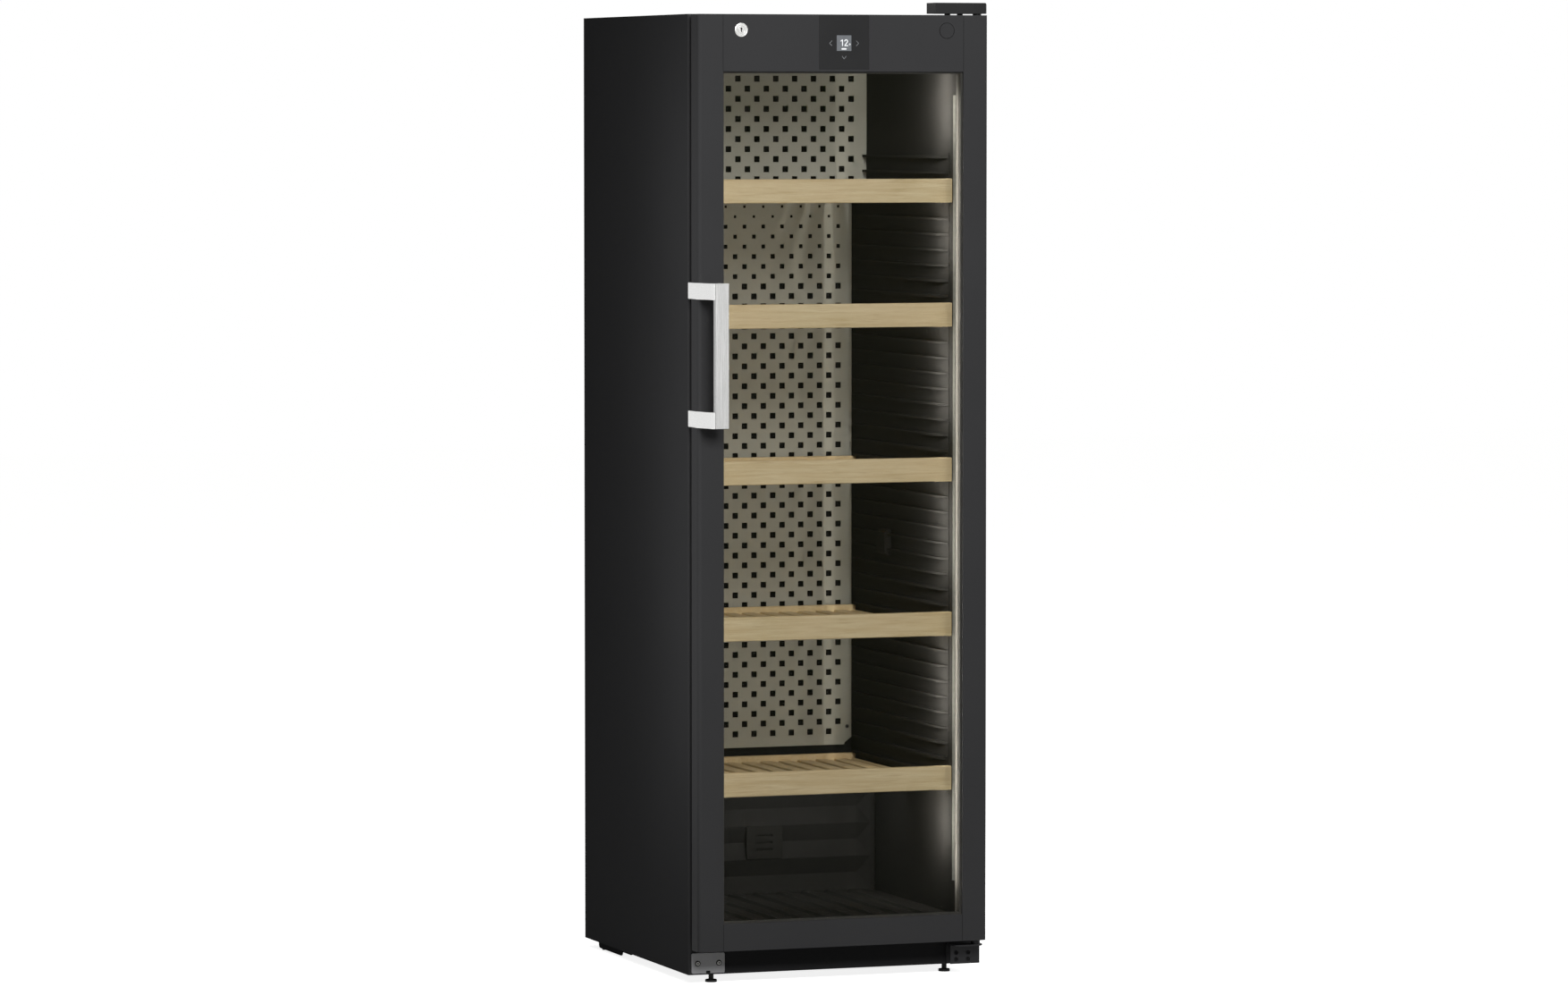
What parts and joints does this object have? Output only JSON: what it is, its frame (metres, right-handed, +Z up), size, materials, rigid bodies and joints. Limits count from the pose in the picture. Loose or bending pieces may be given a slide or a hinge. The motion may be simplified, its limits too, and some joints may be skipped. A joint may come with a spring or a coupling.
{
  "type": "wine cabinet",
  "caption": "Tall free-standing wine cabinet with a framed glass door, bar handle, control panel, slatted wooden shelves, perforated air panels and a cooling unit behind.",
  "frame": {"origin": "middle of the base of the whole part's box, on the floor", "axes": "+X to the right as seen from the front, +Y to the back, +Z up"},
  "size_m": [0.6004, 0.763, 1.901],
  "materials": {
    "black_steel": "satin black powder coat",
    "zinc_steel": "dull galvanised sheet",
    "foam": "rigid foam",
    "liner_plastic": "black vacuum-formed plastic",
    "air_panel_steel": "light grey powder coat",
    "evaporator_aluminium": "black lacquered sheet",
    "light_diffuser": "smoky opal diffuser",
    "beech": "oiled beech",
    "door_aluminium": "black satin coat",
    "tinted_glass": "tinted clear glass",
    "spacer_grey": "grey anodised spacer",
    "frame_plastic": "grey moulded plastic",
    "gasket_rubber": "black soft seal",
    "panel_gloss": "glossy black",
    "screen": "grey lit screen",
    "circuit_board": "green solder mask",
    "lock_metal": "bright nickel",
    "trim_plastic": "black moulded plastic",
    "handle_steel": "fine brushed",
    "bracket_steel": "black coat",
    "plate_plastic": "grey moulded plastic",
    "screw_steel": "zinc plated",
    "foot_plastic": "black moulded plastic",
    "filter_plastic": "dark grey plastic",
    "compressor_black": "black enamel",
    "inlet_plastic": "black plastic"
  },
  "bodies": {
    "cabinet": {"side_panel_left": "black_steel", "side_panel_right": "black_steel", "top_panel": "black_steel", "back_panel": "zinc_steel", "plinth": "black_steel", "base_pan": "black_steel", "inner_liner": "liner_plastic", "insulation_foam": "foam", "rib_strips": "liner_plastic", "sensor_cover": "liner_plastic", "light_columns": "light_diffuser", "upper_air_panel": "air_panel_steel", "rear_air_panel": "air_panel_steel", "evaporator_plate": "evaporator_aluminium", "fan_housing": "liner_plastic", "step_cover": "liner_plastic", "floor_tray": "liner_plastic", "lock_keeper": "bracket_steel", "hinge_bracket_top": "bracket_steel", "hinge_cover_top": "trim_plastic", "hinge_bracket_bottom": "bracket_steel", "corner_plate_left": "plate_plastic", "body_screws": "screw_steel", "compressor": "compressor_black", "compressor_mounts": "gasket_rubber", "drip_tray": "liner_plastic", "condenser_coil": "compressor_black", "machine_room_cover": "zinc_steel", "mains_inlet": "inlet_plastic"},
    "door": {"door_stile_left": "door_aluminium", "door_stile_right": "door_aluminium", "door_header": "door_aluminium", "door_bottom_rail": "door_aluminium", "door_inner_frame": "frame_plastic", "glass_outer": "tinted_glass", "glass_inner": "tinted_glass", "glass_spacer": "spacer_grey", "door_gasket": "gasket_rubber", "control_panel": "panel_gloss", "display_screen": "screen", "control_board": "circuit_board", "lock_cylinder": "lock_metal", "lock_blank_plug": "trim_plastic", "handle_guides": "trim_plastic", "hinge_bushes": "trim_plastic"},
    "handle": {"handle_bar": "handle_steel", "handle_arms": "handle_steel"},
    "push_plates": {"push_plates": "trim_plastic"},
    "lock_core": {"lock_core": "lock_metal"},
    "fan": {"fan_rotor": "liner_plastic"},
    "roller_left": {"roller_left": "foot_plastic"},
    "roller_right": {"roller_right": "foot_plastic"},
    "foot_left": {"foot_left": "foot_plastic"},
    "foot_right": {"foot_right": "foot_plastic"},
    "filter": {"charcoal_filter": "filter_plastic"},
    "shelf_1": {"shelf_1": "beech"},
    "shelf_2": {"shelf_2": "beech"},
    "shelf_3": {"shelf_3": "beech"},
    "shelf_4": {"shelf_4": "beech"},
    "shelf_5": {"shelf_5": "beech"}
  },
  "joints": [
    {"name": "door_hinge", "type": "hinge", "parent": "cabinet", "child": "door", "pos_m": [0.28475, -0.3065, 0.97295], "axis": [0, 0, 1], "range_deg": [0, 115]},
    {"name": "handle_pull", "type": "slide", "parent": "door", "child": "handle", "axis": [0, -1, 0], "range_m": [0, 0.006], "stiffness_N_per_m": 1500},
    {"name": "push_plates_press", "type": "slide", "parent": "door", "child": "push_plates", "axis": [0, 1, 0], "range_m": [0, 0.003]},
    {"name": "lock_turn", "type": "hinge", "parent": "door", "child": "lock_core", "pos_m": [-0.20915, -0.3265, 1.8467], "axis": [0, -1, 0], "range_deg": [0, 90]},
    {"name": "fan_spin", "type": "hinge", "parent": "cabinet", "child": "fan", "pos_m": [0.00175, 0.2345, 1.69], "axis": [0, 1, 0], "continuous": true},
    {"name": "filter_pull", "type": "slide", "parent": "cabinet", "child": "filter", "axis": [0, -1, 0], "range_m": [0, 0.03]},
    {"name": "roller_left_spin", "type": "hinge", "parent": "cabinet", "child": "roller_left", "pos_m": [-0.27425, 0.3035, 0.014], "axis": [1, 0, 0], "continuous": true},
    {"name": "foot_left_adjust", "type": "slide", "parent": "cabinet", "child": "foot_left", "axis": [0, 0, 1], "range_m": [-0.018, 0.012]},
    {"name": "roller_right_spin", "type": "hinge", "parent": "cabinet", "child": "roller_right", "pos_m": [0.27775, 0.3035, 0.014], "axis": [1, 0, 0], "continuous": true},
    {"name": "foot_right_adjust", "type": "slide", "parent": "cabinet", "child": "foot_right", "axis": [0, 0, 1], "range_m": [-0.018, 0.012]},
    {"name": "shelf_1_slide", "type": "slide", "parent": "cabinet", "child": "shelf_1", "axis": [0, -1, 0], "range_m": [0, 0.03]},
    {"name": "shelf_2_slide", "type": "slide", "parent": "cabinet", "child": "shelf_2", "axis": [0, -1, 0], "range_m": [0, 0.03]},
    {"name": "shelf_3_slide", "type": "slide", "parent": "cabinet", "child": "shelf_3", "axis": [0, -1, 0], "range_m": [0, 0.03]},
    {"name": "shelf_4_slide", "type": "slide", "parent": "cabinet", "child": "shelf_4", "axis": [0, -1, 0], "range_m": [0, 0.03]},
    {"name": "shelf_5_slide", "type": "slide", "parent": "cabinet", "child": "shelf_5", "axis": [0, -1, 0], "range_m": [0, 0.03]}
  ],
  "couplings": [
    {"joint": "push_plates_press", "follows": "handle_pull", "ratio": 0.5}
  ]
}
